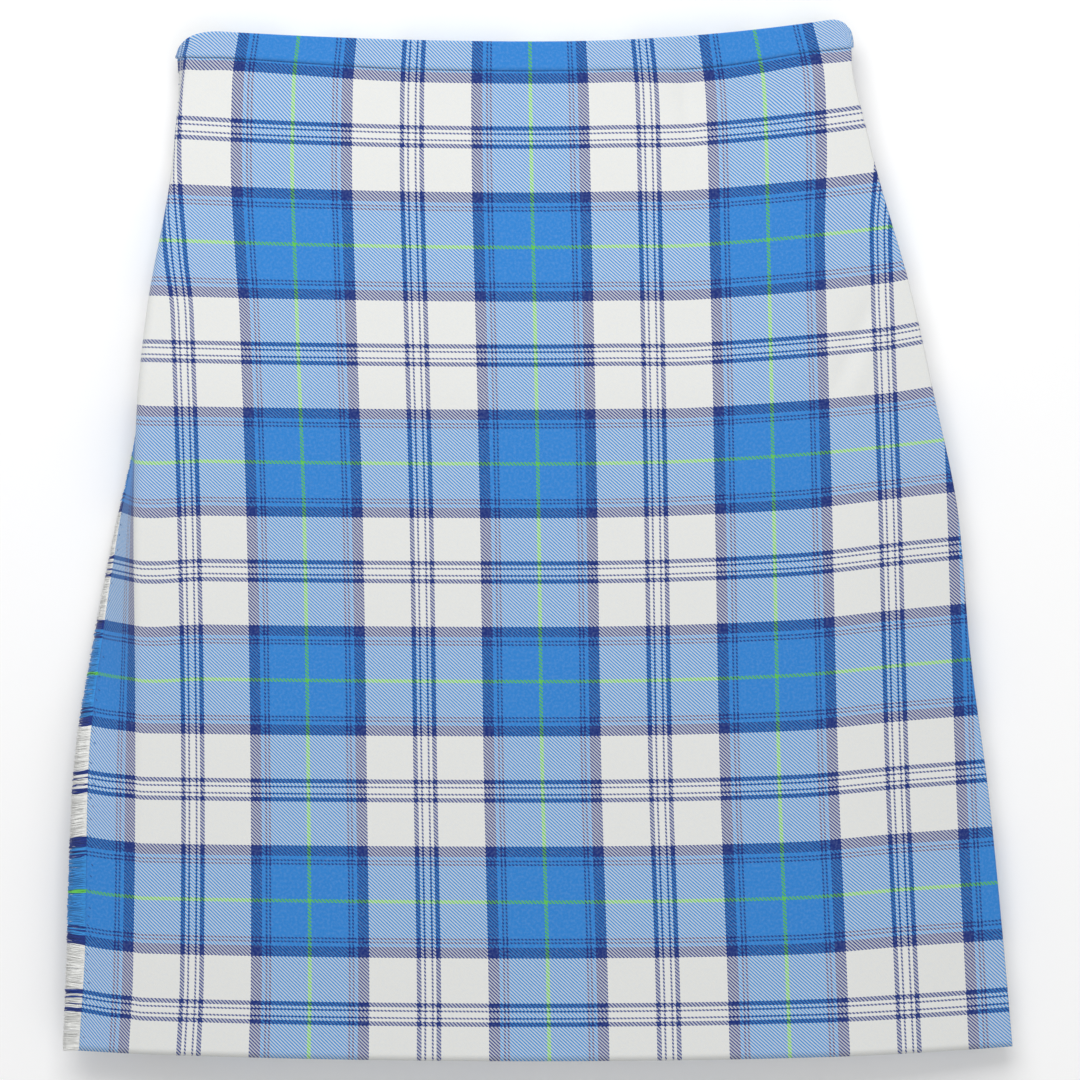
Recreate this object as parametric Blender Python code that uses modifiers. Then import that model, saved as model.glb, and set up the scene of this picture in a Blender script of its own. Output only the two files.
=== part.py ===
"""A Scottish kilt laid flat with its front up: two aprons, a knife-pleated back, bands, fringe and straps.

X runs across the kilt, +Y from the hem to the waist and +Z up through the stack. The pleats' outer faces lie
on z = 0. Sizes in the tables are millimetres; the meshes are in metres.
"""

import math
from collections import namedtuple

import bmesh
import bpy

MM = 0.001

# Cloth
WALL = 1.0
SEAM_GAP = 0.3

# The part's origin, under the middle of its box, in the frame of the tables
ORIGIN = (-0.332, 1.858, 0.0)

# Stack, measured between the middles of neighbouring walls
PRESSED_RADIUS = 1.1
LAYER_STEP = 1.8
ROOF_DROP = 6.4
APRON_FALL = 120.0
TURN_STEPS = 4
TOP_COLUMNS = 14
SIDE_RISE = 0.12

# Pleats
PLEAT_COUNT = 21
PLEAT_RADIUS = 0.9
PLEAT_CLIMB = 6.0
PLEAT_STEP_OVER = 3.7
LAST_REVEAL = 20.0

# Bands
BAND_STEP = 1.3
BAND_TOP = 299.0
BAND_CROWN = 0.8
SEAM_LINE = 281.7

# Fringe
STRAND_COUNT = 110
STRAND_LENGTH = 9.0
STRAND_TIP = 0.45
FRINGE_ROOT = 1.2

# Straps and buckles
LEATHER = 1.6
STRAP_WIDTH = 13.0
STRAP_LEVEL = 4.0
STRAP_Y = 290.4
STRAP_REACH = 56.0
STRAP_BEND = 3.0
BUCKLE_OFFSET = 74.0
BUCKLE_LENGTH = 14.0
BUCKLE_WIDTH = 19.0
BUCKLE_LEVEL = 2.55
WIRE = 1.4
TAB_LEATHER = 1.2
TAB_WIDTH = 11.0
TAB_LENGTH = 26.0

Row = namedtuple(
    "Row",
    "y left right high edge_high base turn strip bend tuck panel flap free inset side_step top_step"
    " bow_left bow_right",
)

# One row for each section across the kilt, from the hem to the top of the waist.
# y: height on the centre line. left, right: the outline. high, edge_high: middle of the front wall, over the
# stack and at the right fold. base: lift of the pleats. turn: how far the fringed side turns down, in degrees.
# strip: cloth past the side fold. bend: radius of that fold. tuck: depth of a pleat along the cloth.
# panel: from the right fold to the first pleat. flap: cloth turned under at the right fold. free: from the
# right fold to the under apron's free edge. inset: back's right wall behind the fold. side_step, top_step:
# under apron inside the over apron. bow_left, bow_right: rise of the row 200 mm from the centre line.
ROWS = [
    Row(-311.0, -247.0, 284.5, 35.0, 19.0, 0.0, 8.0, 37.0, 8.0, 60.0, 71.0, 42.0, 60.0, 3.5, 2.0, 2.0, 3.0, 4.5),
    Row(-164.5, -246.0, 271.2, 37.0, 20.0, 0.0, 14.0, 36.5, 8.0, 60.0, 71.0, 42.0, 60.0, 3.5, 2.0, 2.0, 1.3, 5.0),
    Row(-77.7, -244.0, 260.4, 39.5, 21.0, 0.0, 42.0, 36.5, 7.0, 60.0, 71.0, 42.0, 60.0, 3.5, 2.0, 2.0, 1.5, 6.5),
    Row(0.0, -243.5, 252.0, 41.0, 22.0, 0.0, 66.0, 36.0, 6.0, 60.0, 71.0, 42.0, 60.0, 3.5, 2.0, 2.0, 1.5, 8.5),
    Row(77.7, -242.5, 235.6, 41.0, 23.0, 0.0, 88.0, 32.0, 6.0, 59.0, 70.0, 40.0, 57.0, 3.5, 2.0, 2.0, 1.8, 10.5),
    Row(131.6, -235.3, 225.1, 38.0, 24.0, 0.0, 90.0, 27.0, 6.0, 57.0, 68.0, 36.0, 53.0, 3.5, 2.0, 2.0, 2.5, 12.0),
    Row(224.3, -219.2, 201.2, 31.0, 25.0, 0.0, 90.0, 20.0, 5.0, 51.0, 61.0, 28.0, 45.0, 5.0, 3.0, 2.0, 4.5, 15.0),
    Row(281.2, -217.0, 187.0, 27.0, 26.0, 6.4, 90.0, 14.0, 4.0, 45.0, 57.0, 24.0, 40.0, 8.0, 5.2, 2.8, 6.3, 17.3),
    Row(297.4, -217.0, 187.0, 27.0, 26.0, 6.4, 90.0, 14.0, 4.0, 45.0, 57.0, 24.0, 40.0, 8.0, 5.2, 2.8, 6.3, 17.3),
]
WAIST = ROWS[-1]
BOW_SPAN = 200.0

Finish = namedtuple("Finish", "colour roughness metallic")
FINISHES = {
    "tartan_front": Finish((0.10, 0.32, 0.75), 0.85, 0.0),
    "tartan_back": Finish((0.07, 0.23, 0.60), 0.85, 0.0),
    "tartan_band": Finish((0.13, 0.38, 0.80), 0.85, 0.0),
    "yarn": Finish((0.35, 0.50, 0.78), 0.9, 0.0),
    "black_leather": Finish((0.02, 0.02, 0.022), 0.45, 0.0),
    "chrome": Finish((0.75, 0.76, 0.78), 0.18, 1.0),
}


def clear_scene():
    for obj in list(bpy.data.objects):
        bpy.data.objects.remove(obj, do_unlink=True)


def material(name):
    found = bpy.data.materials.get(name)
    if found:
        return found
    finish = FINISHES[name]
    made = bpy.data.materials.new(name)
    made.use_nodes = True
    shader = made.node_tree.nodes["Principled BSDF"]
    shader.inputs["Base Color"].default_value = (*finish.colour, 1.0)
    shader.inputs["Roughness"].default_value = finish.roughness
    shader.inputs["Metallic"].default_value = finish.metallic
    return made


def add_object(collection, name, mesh, finish):
    obj = bpy.data.objects.new(name, mesh)
    obj.location = [-c * MM for c in ORIGIN]
    obj.data.materials.append(material(finish))
    collection.objects.link(obj)
    return obj


def add_wall(collection, name, sections, thickness, finish):
    """Lofts one open surface through sections of equal length, then gives it its thickness."""
    bm = bmesh.new()
    grid = [[bm.verts.new([c * MM for c in point]) for point in section] for section in sections]
    for lower, upper in zip(grid, grid[1:]):
        for a, b, c, d in zip(lower, lower[1:], upper[1:], upper):
            bm.faces.new((a, b, c, d))
    bmesh.ops.recalc_face_normals(bm, faces=bm.faces)
    mesh = bpy.data.meshes.new(name)
    bm.to_mesh(mesh)
    bm.free()
    obj = add_object(collection, name, mesh, finish)
    wall = obj.modifiers.new("Wall", "SOLIDIFY")
    wall.thickness = thickness * MM
    wall.offset = 0.0
    wall.use_even_offset = True
    return obj


def bow(row, x):
    rise = row.bow_left if x < 0 else row.bow_right
    return rise * (x / BOW_SPAN) ** 2


def front_height(row, x):
    """Middle of the over apron's wall: level over the stack, falling towards the right fold."""
    share = min(max((row.right - x) / APRON_FALL, 0.0), 1.0)
    return row.edge_high + (row.high - row.edge_high) * math.sin(share * math.pi / 2)


def arc(centre, radius, start, end, steps=TURN_STEPS):
    """Points on an arc in the section plane, angles in degrees from +X towards +Z."""
    angles = [math.radians(start + (end - start) * i / steps) for i in range(steps + 1)]
    return [(centre[0] + radius * math.cos(a), centre[1] + radius * math.sin(a)) for a in angles]


def offset_path(path, distance):
    """Moves a section path to its left-hand side, with mitred corners."""
    moved = []
    for i, (x, z) in enumerate(path):
        before = path[max(i - 1, 0)]
        after = path[min(i + 1, len(path) - 1)]
        first = (x - before[0], z - before[1]) if i > 0 else (after[0] - x, after[1] - z)
        last = (after[0] - x, after[1] - z) if i < len(path) - 1 else first
        n1 = (-first[1] / math.hypot(*first), first[0] / math.hypot(*first))
        n2 = (-last[1] / math.hypot(*last), last[0] / math.hypot(*last))
        scale = distance / (1.0 + n1[0] * n2[0] + n1[1] * n2[1])
        moved.append((x + (n1[0] + n2[0]) * scale, z + (n1[1] + n2[1]) * scale))
    return moved


def placed(row, path, y):
    """Stands a section path on its bowed row."""
    return [(x, y + bow(row, x), z) for x, z in path]


def side_strip(row):
    """The over apron from its fringed edge to the top of the side fold."""
    middle = row.left + WALL / 2
    turn = math.radians(row.turn)
    centre = (middle + row.bend, row.high - row.bend)
    fold = arc(centre, row.bend, 90.0 + row.turn, 90.0)
    start = fold[0]
    length = row.strip - row.bend * turn
    straight = [
        (start[0] - math.cos(turn) * length * share, start[1] - math.sin(turn) * length * share)
        for share in (1.0, 0.75, 0.5, 0.25)
    ]
    return straight + fold


def over_path(row):
    strip = side_strip(row)
    first = strip[-1][0]
    last = row.right - WALL / 2 - PRESSED_RADIUS
    columns = [first + (last - first) * i / TOP_COLUMNS for i in range(1, TOP_COLUMNS + 1)]
    top = [(x, front_height(row, x)) for x in columns]
    centre = (last, front_height(row, last) - PRESSED_RADIUS)
    fold = arc(centre, PRESSED_RADIUS, 90.0, -90.0)[1:]
    ends = [row.right - 12.0, row.right - row.flap * 0.6, row.right - row.flap]
    turned = [(x, front_height(row, x) - 2 * PRESSED_RADIUS) for x in ends]
    return strip + top + fold + turned


def rise_past_fold(row, path):
    """The loose side strip climbs a little, square to its own slanted edge."""
    fold_x = row.left + WALL / 2 + row.bend
    share = 1.0 if row.base == 0.0 and row.turn < 89.0 else 0.0
    points = []
    for x, z in path:
        past = math.hypot(x - fold_x, z - row.high) if x < fold_x else 0.0
        points.append((x, row.y + bow(row, x) + SIDE_RISE * past * share, z))
    return points


def add_over_apron(collection):
    sections = [rise_past_fold(row, over_path(row)) for row in ROWS]
    add_wall(collection, "over_apron", sections, WALL, "tartan_front")


def under_path(row):
    """The under apron from its seam on the underside, round the side and over the pleats."""
    side = row.left + WALL / 2 + row.side_step
    floor = row.base + WALL / 2
    roof = row.high - row.top_step
    lower = 3.0
    upper = max(2.5, row.bend - row.side_step)
    seam = [(side + LAST_REVEAL - SEAM_GAP, floor), (side + lower + 4.0, floor)]
    corner = arc((side + lower, floor + lower), lower, 270.0, 180.0)
    fold = arc((side + upper, roof - upper), upper, 180.0, 90.0)
    first = side + upper
    last = row.right - row.free
    columns = [first + (last - first) * i / TOP_COLUMNS for i in range(1, TOP_COLUMNS + 1)]
    return seam + corner + fold + [(x, front_height(row, x) - row.top_step) for x in columns]


def hem_inset(row, amount):
    return row.y + (amount if row is ROWS[0] else 0.0)


def add_under_apron(collection):
    sections = [placed(row, under_path(row), hem_inset(row, 1.5)) for row in ROWS]
    add_wall(collection, "under_apron", sections, WALL, "tartan_back")


def pleat_path(row):
    """The back from its seam under the right fold: round the right wall, then every pleat in turn."""
    floor = row.base + WALL / 2
    wall_x = row.right - WALL / 2 - row.inset
    start = row.right - row.flap - 2 * SEAM_GAP
    level = 2 * PRESSED_RADIUS
    path = [(start, front_height(row, start) - level)]
    turn_centre = (start - 1.5, front_height(row, start) - level - LAYER_STEP / 2)
    path += arc(turn_centre, LAYER_STEP / 2, 90.0, 270.0)
    radius = 2.5
    back_level = front_height(row, wall_x) - level - LAYER_STEP
    middle = (start + wall_x) / 2
    path.append((middle, front_height(row, middle) - level - LAYER_STEP))
    path += arc((wall_x - radius, back_level - radius), radius, 90.0, 0.0)
    path += arc((wall_x - radius, floor + radius), radius, 0.0, -90.0)
    first = row.right - row.panel
    last = row.left + WALL / 2 + row.side_step + LAST_REVEAL + PLEAT_CLIMB
    reveal = (first - last) / (PLEAT_COUNT - 1)
    for i in range(PLEAT_COUNT):
        outer = first - reveal * i
        rise = front_height(row, outer + row.tuck) - ROOF_DROP - floor - 2 * PLEAT_RADIUS
        inner = outer + math.sqrt(row.tuck**2 - rise**2)
        height = front_height(row, inner) - ROOF_DROP
        path += arc((outer, floor + PLEAT_RADIUS), PLEAT_RADIUS, 270.0, 90.0, 2)
        path += arc((inner, height), PLEAT_RADIUS, -90.0, 90.0, 2)
        path.append((outer, floor + PLEAT_STEP_OVER))
        path.append((outer - PLEAT_CLIMB, floor))
    path[-1] = (last - PLEAT_CLIMB + SEAM_GAP, floor)
    return path


def add_pleated_back(collection):
    sections = [placed(row, pleat_path(row), hem_inset(row, 2.5)) for row in ROWS]
    add_wall(collection, "pleated_back", sections, WALL, "tartan_back")


def band_sections(row, path, outward, crown):
    """A band outside a section path: its face, its rounded top, and a crown over the cloth's edge."""
    face = offset_path(path, outward)
    shoulder = offset_path(path, outward * 0.55)
    edge = offset_path(path, -math.copysign(crown, outward))
    top = BAND_TOP - BAND_CROWN
    return [
        placed(row, face, SEAM_LINE),
        placed(row, face, top),
        placed(row, shoulder, BAND_TOP),
        placed(row, edge, BAND_TOP),
    ]


def add_over_band(collection):
    path = over_path(WAIST)[:-3]
    add_wall(collection, "over_band", band_sections(WAIST, path, BAND_STEP, 0.4), WALL, "tartan_band")


def add_under_band(collection):
    path = under_path(WAIST)
    add_wall(collection, "under_band", band_sections(WAIST, path, BAND_STEP, 0.4), WALL, "tartan_band")


def add_back_band(collection):
    """The back's band lies under the pleats, with a crown that closes their upper ends."""
    left = under_path(WAIST)[0][0] + SEAM_GAP
    right = WAIST.right - WALL / 2 - WAIST.inset
    level = WAIST.base + WALL / 2 - BAND_STEP
    columns = [left + (right - left) * i / TOP_COLUMNS for i in range(TOP_COLUMNS + 1)]
    ends = [front_height(WAIST, x) - ROOF_DROP + BAND_STEP for x in columns]
    top = BAND_TOP - BAND_CROWN
    sections = [
        placed(WAIST, [(x, level) for x in columns], SEAM_LINE),
        placed(WAIST, [(x, level) for x in columns], top),
        placed(WAIST, [(x, level + BAND_CROWN) for x in columns], BAND_TOP),
        placed(WAIST, list(zip(columns, ends)), BAND_TOP),
    ]
    add_wall(collection, "back_band", sections, WALL, "tartan_band")


def fringe_edge():
    """Points and hanging directions along the over apron's fringed edge, from the hem to the band."""
    rows = ROWS[:-2] + [ROWS[-2]]
    points = []
    for row in rows:
        path = rise_past_fold(row, over_path(row))
        edge = path[0]
        turn = math.radians(row.turn)
        points.append((edge, (-math.cos(turn), 0.0, -math.sin(turn))))
    return points


def between(a, b, share):
    return tuple(p + (q - p) * share for p, q in zip(a, b))


def add_fringe(collection):
    """A narrow strip along the edge, whose outer side is drawn out into strands at every second step."""
    edge = fringe_edge()
    steps = STRAND_COUNT * 2 + 1
    lengths = [math.dist(a[0], b[0]) for a, b in zip(edge, edge[1:])]
    total = sum(lengths)
    stations = []
    for i in range(steps + 1):
        left = total * (0.002 + 0.996 * i / steps)
        part = 0
        while left > lengths[part] and part < len(lengths) - 1:
            left -= lengths[part]
            part += 1
        share = left / lengths[part]
        stations.append(
            (between(edge[part][0], edge[part + 1][0], share), between(edge[part][1], edge[part + 1][1], share))
        )
    bm = bmesh.new()
    rings = []
    half = WALL / 2
    for point, way in stations:
        across = (way[2], 0.0, -way[0])
        ring = []
        for out, side in ((SEAM_GAP, -half), (SEAM_GAP, half), (FRINGE_ROOT, half), (FRINGE_ROOT, -half)):
            place = [(p + w * out + a * side) * MM for p, w, a in zip(point, way, across)]
            ring.append(bm.verts.new(place))
        rings.append(ring)
    outer = []
    for below, above in zip(rings, rings[1:]):
        for i in range(4):
            face = bm.faces.new((below[i], below[(i + 1) % 4], above[(i + 1) % 4], above[i]))
            if i == 2:
                outer.append(face)
    bm.faces.new(rings[0])
    bm.faces.new(rings[-1])
    bmesh.ops.recalc_face_normals(bm, faces=bm.faces)
    roots = outer[1::2]
    for index, root in enumerate(roots):
        way = stations[2 * index + 1][1]
        drawn = bmesh.ops.extrude_discrete_faces(bm, faces=[root])["faces"][0]
        centre = drawn.calc_center_median()
        droop = 0.8 * math.sin(index * 2.4)
        for vert in drawn.verts:
            vert.co = centre + (vert.co - centre) * STRAND_TIP
            vert.co.x += way[0] * STRAND_LENGTH * MM
            vert.co.y += droop * MM
            vert.co.z += way[2] * STRAND_LENGTH * MM
    mesh = bpy.data.meshes.new("fringe")
    bm.to_mesh(mesh)
    bm.free()
    add_object(collection, "fringe", mesh, "yarn")


def hip_path(side):
    """Where a hip strap runs: out of the layers, round the lower corner and along the underside."""
    if side > 0:
        x = WAIST.left + WALL + SEAM_GAP + LEATHER / 2
        top = 22.0
    else:
        x = WAIST.right - WAIST.inset - WALL / 2 + BAND_STEP + WALL / 2 + SEAM_GAP + LEATHER / 2
        top = 18.5
    centre = (x + side * STRAP_BEND, STRAP_LEVEL + STRAP_BEND)
    start, end = (180.0, 270.0) if side > 0 else (0.0, -90.0)
    bend = arc(centre, STRAP_BEND, start, end)
    run = [(x + side * reach, STRAP_LEVEL) for reach in (STRAP_REACH / 2, STRAP_REACH - 7.0, STRAP_REACH)]
    return [(x, top), (x, (top + centre[1]) / 2)] + bend + run


def add_strap(collection, name, side):
    path = hip_path(side)
    tongue = 0.4
    sections = []
    for end in (-0.5, 0.5):
        widths = [STRAP_WIDTH] * (len(path) - 1) + [STRAP_WIDTH * tongue]
        sections.append([(x, STRAP_Y + bow(WAIST, x) + w * end, z) for (x, z), w in zip(path, widths)])
    add_wall(collection, name, sections, LEATHER, "black_leather")


def buckle_place(side):
    x = hip_path(side)[0][0] + side * BUCKLE_OFFSET
    return x, STRAP_Y + bow(WAIST, x)


def add_wire(collection, name, points, cyclic):
    curve = bpy.data.curves.new(name, "CURVE")
    curve.dimensions = "3D"
    curve.bevel_depth = WIRE / 2 * MM
    curve.bevel_resolution = 2
    curve.use_fill_caps = not cyclic
    spline = curve.splines.new("POLY")
    spline.points.add(len(points) - 1)
    for point, place in zip(spline.points, points):
        point.co = (*[c * MM for c in place], 1.0)
    spline.use_cyclic_u = cyclic
    return add_object(collection, name, curve, "chrome")


def add_buckle_frame(collection, name, side):
    x, y = buckle_place(side)
    radius = 2.5
    half_x = BUCKLE_LENGTH / 2 - radius
    half_y = BUCKLE_WIDTH / 2 - radius
    ring = []
    for corner, (sx, sy) in enumerate(((1, 1), (-1, 1), (-1, -1), (1, -1))):
        bend = arc((x + half_x * sx, y + half_y * sy), radius, corner * 90.0, corner * 90.0 + 90.0, 3)
        ring += [(px, py, BUCKLE_LEVEL) for px, py in bend]
    add_wire(collection, name, ring, True)


def add_buckle_tab(collection, name, side):
    """Leather folded round the frame's rear bar, its longer layer lying against the band."""
    x, y = buckle_place(side)
    bar = x + side * BUCKLE_LENGTH / 2
    radius = WIRE / 2 + 0.35 + TAB_LEATHER / 2
    start, end = (90.0, 270.0) if side > 0 else (90.0, -90.0)
    turn = arc((bar, BUCKLE_LEVEL), radius, start, end)
    path = [(bar + side * TAB_LENGTH, BUCKLE_LEVEL + radius)] + turn
    path.append((bar + side * TAB_LENGTH * 0.5, BUCKLE_LEVEL - radius))
    sections = [[(px, y + end_y * TAB_WIDTH, pz) for px, pz in path] for end_y in (-0.5, 0.5)]
    add_wall(collection, name, sections, TAB_LEATHER, "black_leather")


def add_buckle_prong(collection, name, side):
    x, y = buckle_place(side)
    rear = x + side * (BUCKLE_LENGTH / 2 - 4.0)
    front = x - side * (BUCKLE_LENGTH / 2 + 0.6)
    level = BUCKLE_LEVEL - WIRE - SEAM_GAP
    add_wire(collection, name, [(rear, y, BUCKLE_LEVEL), (x, y, level + 0.4), (front, y, level)], False)


def main():
    clear_scene()
    kilt = bpy.data.collections.new("kilt")
    bpy.context.scene.collection.children.link(kilt)
    add_over_apron(kilt)
    add_over_band(kilt)
    add_fringe(kilt)
    add_pleated_back(kilt)
    add_back_band(kilt)
    add_under_apron(kilt)
    add_under_band(kilt)
    for hip, side in (("right_hip", 1), ("left_hip", -1)):
        add_strap(kilt, "strap_" + hip, side)
        add_buckle_tab(kilt, "buckle_tab_" + hip, side)
        add_buckle_frame(kilt, "buckle_frame_" + hip, side)
        add_buckle_prong(kilt, "buckle_prong_" + hip, side)


main()
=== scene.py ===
"""Looks of a Scottish kilt laid flat with its front up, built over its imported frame."""

import logging
import math
import random
from bisect import bisect_right
from collections.abc import Callable, Sequence
from dataclasses import astuple, dataclass, field
from enum import Enum

import bmesh
import bpy
from bpy.types import ID, Material, Mesh, Node, NodeSocket, NodeTree, Object
from mathutils import Matrix, Vector


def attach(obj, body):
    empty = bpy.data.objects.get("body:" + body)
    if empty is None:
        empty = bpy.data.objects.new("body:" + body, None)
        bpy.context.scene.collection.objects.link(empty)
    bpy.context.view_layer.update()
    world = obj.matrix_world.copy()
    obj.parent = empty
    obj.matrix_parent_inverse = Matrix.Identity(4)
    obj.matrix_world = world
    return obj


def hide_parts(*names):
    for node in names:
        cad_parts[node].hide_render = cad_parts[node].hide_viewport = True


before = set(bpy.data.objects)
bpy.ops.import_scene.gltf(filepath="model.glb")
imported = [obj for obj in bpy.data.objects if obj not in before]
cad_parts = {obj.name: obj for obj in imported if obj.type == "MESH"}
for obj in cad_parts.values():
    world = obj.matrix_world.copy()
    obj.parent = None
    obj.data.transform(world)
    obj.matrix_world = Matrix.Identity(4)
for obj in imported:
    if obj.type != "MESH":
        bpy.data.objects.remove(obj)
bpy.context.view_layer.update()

LOG = logging.getLogger("kilt")

MM = 0.001
Point2 = tuple[float, float]
Point3 = tuple[float, float, float]
Colour = tuple[float, float, float]
Section = tuple[list[Point2], list[float]]
Placer = Callable[[int, int], tuple[Point3, Point2]]

# The part's origin in the frame of the tables below, in millimetres.
ORIGIN: Point3 = (-0.332, 1.858, 0.0)

# Cloth, in millimetres. The sett is counted in threads and repeats in mirror about two pivots.
CLOTH = 0.7
WALL = 1.0
WARP_PITCH = 0.5508
WEFT_PITCH = 0.5207
NEIGHBOUR_SHARE = 0.3

# Painted shade on each thread: how bright its colour is at its edge, and how much brighter it is painted over
# its round top.
FLOAT_SHADE = 0.80
FLOAT_TOP_LIGHT = 0.22

# Surface fibres: patches a metre, the noise level where they start, their weight and their colour.
NAP_SCALE = 620.0
NAP_START = 0.44
NAP_WEIGHT = 0.36
NAP_COLOUR: Colour = (0.46, 0.60, 0.84)

PRESSED_RADIUS = 1.1
LAYER_STEP = 1.8
ROOF_DROP = 6.4
APRON_FALL = 120.0
SIDE_RISE = 0.12
SIDE_TIGHT = 100.0
SIDE_LOOSE = 77.7
SEAM_GAP = 0.3

PLEAT_COUNT = 21
PLEAT_RADIUS = 0.9
PLEAT_CLIMB = 6.0
PLEAT_STEP_OVER = 3.7
LAST_REVEAL = 20.0

BAND_STEP = 1.3
BAND_TOP = 299.0
BAND_CROWN = 0.8
SEAM_LINE = 281.7
BOW_SPAN = 200.0

# The weft coordinate at the band's sewn edge, less a sett.
FIRST_SEAM = 111.8

# The waist's rounded corners: where each starts, how far it runs and how low it ends.
LEFT_CORNER_START = -190.0
LEFT_CORNER_RUN = 28.6
RIGHT_CORNER_START = 174.0
RIGHT_CORNER_RUN = 13.6
CORNER_DEPTH = 15.0

# Near the waist the fringed side slants: its top edge draws in from this height up, as far as this.
SHOULDER_START = 232.0
SHOULDER_END = 305.0
SHOULDER_DEPTH = 8.0
SHOULDER_FOOT = 15.3
SHOULDER_BULGE = 1.7
BULGE_START = 266.0
BULGE_END = 286.0

# Below this height the turned side's rows run out into a level hem.
HEM_LEVEL = 50.0

# The photograph's frame: its width in millimetres at the height of the front, and its centre.
FRAME_WIDTH = 645.84
FRAME_CENTRE: Point2 = (0.0, 0.4)
FRONT_LEVEL = 33.0
CAMERA_HEIGHT = 2.4
SENSOR = 36.0


@dataclass(frozen=True)
class Station:
    """One section across the kilt, in millimetres and degrees.

    y is its height on the centre line; left and right are the outline; high and edge_high are the middle of
    the front wall over the stack and at the right fold; base lifts the pleats; turn, strip and bend shape the
    fringed side; tuck and panel set the pleats; flap is turned under at the right fold; free and inset place
    the under apron's edge and the back's right wall; side_step and top_step part the aprons; bow_left and
    bow_right curve the row; frayed is the length of the loose yarns.
    """

    y: float
    left: float
    right: float
    high: float
    edge_high: float
    base: float
    turn: float
    strip: float
    bend: float
    tuck: float
    panel: float
    flap: float
    free: float
    inset: float
    side_step: float
    top_step: float
    bow_left: float
    bow_right: float
    frayed: float


STATIONS = [
    Station(
        -311.0, -247.0, 284.5, 35.0, 19.0, 0.0, 8.0, 38.7, 8.0, 60.0,
        71.0, 42.0, 60.0, 3.5, 2.0, 2.0, 3.0, 3.4, 9.2,
    ),
    Station(
        -245.0, -246.6, 278.5, 35.8, 19.4, 0.0, 10.5, 35.4, 8.0, 60.0,
        71.0, 42.0, 60.0, 3.5, 2.0, 2.0, 2.1, 4.1, 10.8,
    ),
    Station(
        -164.5, -246.0, 270.4, 37.0, 20.0, 0.0, 14.0, 35.4, 8.0, 60.0,
        71.0, 42.0, 60.0, 3.5, 2.0, 2.0, 1.3, 5.0, 9.6,
    ),
    Station(
        -77.7, -244.0, 258.8, 39.5, 21.0, 0.0, 42.0, 37.8, 7.0, 60.0,
        71.0, 42.0, 60.0, 3.5, 2.0, 2.0, 1.5, 6.5, 8.0,
    ),
    Station(
        0.0, -243.5, 251.8, 41.0, 22.0, 0.0, 66.0, 36.3, 6.0, 60.0,
        71.0, 42.0, 60.0, 3.5, 2.0, 2.0, 1.5, 8.5, 6.6,
    ),
    Station(
        77.7, -241.0, 235.8, 41.0, 23.0, 0.0, 88.0, 31.5, 6.0, 59.0,
        70.0, 40.0, 57.0, 3.5, 2.0, 2.0, 1.8, 10.5, 6.4,
    ),
    Station(
        131.6, -235.8, 223.8, 38.0, 24.0, 0.0, 90.0, 27.0, 6.0, 57.0,
        68.0, 36.0, 53.0, 3.5, 2.0, 2.0, 2.5, 12.0, 6.4,
    ),
    Station(
        224.3, -220.4, 198.1, 31.0, 25.0, 0.0, 90.0, 20.0, 5.0, 51.0,
        61.0, 28.0, 45.0, 5.0, 3.0, 2.0, 4.8, 15.0, 6.4,
    ),
    Station(
        281.2, -217.0, 187.0, 27.0, 26.0, 6.4, 90.0, 14.0, 4.0, 45.0,
        57.0, 24.0, 40.0, 8.0, 5.2, 2.8, 6.6, 17.3, 6.4,
    ),
    Station(
        297.4, -217.0, 187.0, 27.0, 26.0, 6.4, 90.0, 14.0, 4.0, 45.0,
        57.0, 24.0, 40.0, 8.0, 5.2, 2.8, 6.6, 17.3, 6.4,
    ),
]


@dataclass(frozen=True)
class GreenLines:
    """Where the three green warp lines of the front cross a row.

    y is the row's height and left, middle and right are the lines' x; left_stretch and right_stretch widen
    the cloth beyond the outer lines.
    """

    y: float
    left: float
    middle: float
    right: float
    left_stretch: float
    right_stretch: float


GREEN_LINES = [
    GreenLines(-311.0, -138.2, 5.6, 149.4, 1.0, 1.0),
    GreenLines(-263.1, -137.5, 4.8, 147.7, 0.99, 1.0),
    GreenLines(-129.8, -138.4, 1.2, 142.3, 0.985, 1.005),
    GreenLines(0.0, -140.2, -0.6, 139.6, 0.985, 0.998),
    GreenLines(131.6, -145.0, -3.0, 137.2, 0.965, 0.97),
    GreenLines(168.0, -146.5, -3.9, 136.6, 1.0, 0.965),
    GreenLines(224.3, -148.3, -5.1, 135.7, 1.03, 1.03),
    GreenLines(266.1, -147.7, -5.7, 134.2, 1.04, 1.04),
    GreenLines(299.0, -144.6, -6.0, 128.4, 1.04, 1.04),
]


@dataclass(frozen=True)
class WeftMark:
    """A height on the centre line and how many setts up the cloth it lies from a green weft line."""

    y: float
    setts: float


WEFT_MARKS = [
    WeftMark(-283.5, -2.5),
    WeftMark(-215.9, -2.0),
    WeftMark(-84.0, -1.0),
    WeftMark(45.75, 0.0),
    WeftMark(175.2, 1.0),
    WeftMark(241.3, 1.5),
    WeftMark(273.9, 1.75),
]


class Yarn(Enum):
    """The tartan's yarns."""

    GREEN = "green"
    BLUE = "blue"
    NAVY = "navy"
    WHITE = "white"


@dataclass(frozen=True)
class Stripe:
    """A run of threads of one yarn in half a sett."""

    yarn: Yarn
    threads: int


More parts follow.
